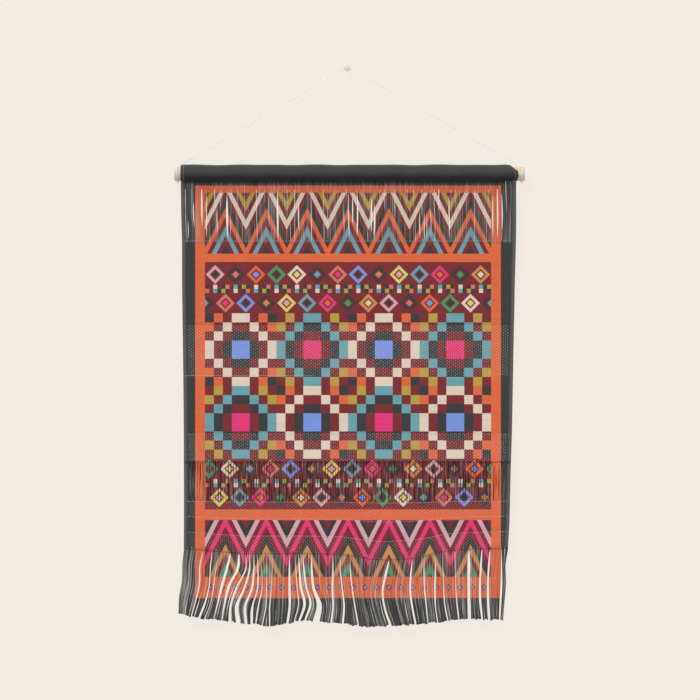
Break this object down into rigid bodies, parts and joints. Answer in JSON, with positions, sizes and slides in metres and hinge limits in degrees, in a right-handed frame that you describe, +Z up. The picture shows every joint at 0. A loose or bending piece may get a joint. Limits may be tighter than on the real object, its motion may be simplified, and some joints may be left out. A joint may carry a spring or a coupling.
{
  "type": "woven wall hanging on a wooden rod",
  "caption": "Flat woven cloth with a rod pocket and a long fringe, hung from a wooden rod by a cord over a pin in the wall.",
  "frame": {"origin": "centre of the pin's back face, where its shank meets the wall", "axes": "+Z up, +Y into the wall, +X to the right as seen from the front, so the front faces -Y"},
  "size_m": [0.624, 0.0318, 1.0012],
  "materials": {
    "pale_wood": "bare, sanded",
    "printed_cloth": "matte woven cotton",
    "printed_yarn": "matte twisted cotton yarn",
    "white_cord": "twisted cotton cord",
    "pale_pin": "satin"
  },
  "bodies": {
    "root": {"rod": "pale_wood", "cloth": "printed_cloth", "fringe": "printed_yarn", "hanging_cord": "white_cord", "wall_pin": "pale_pin"}
  },
  "joints": []
}
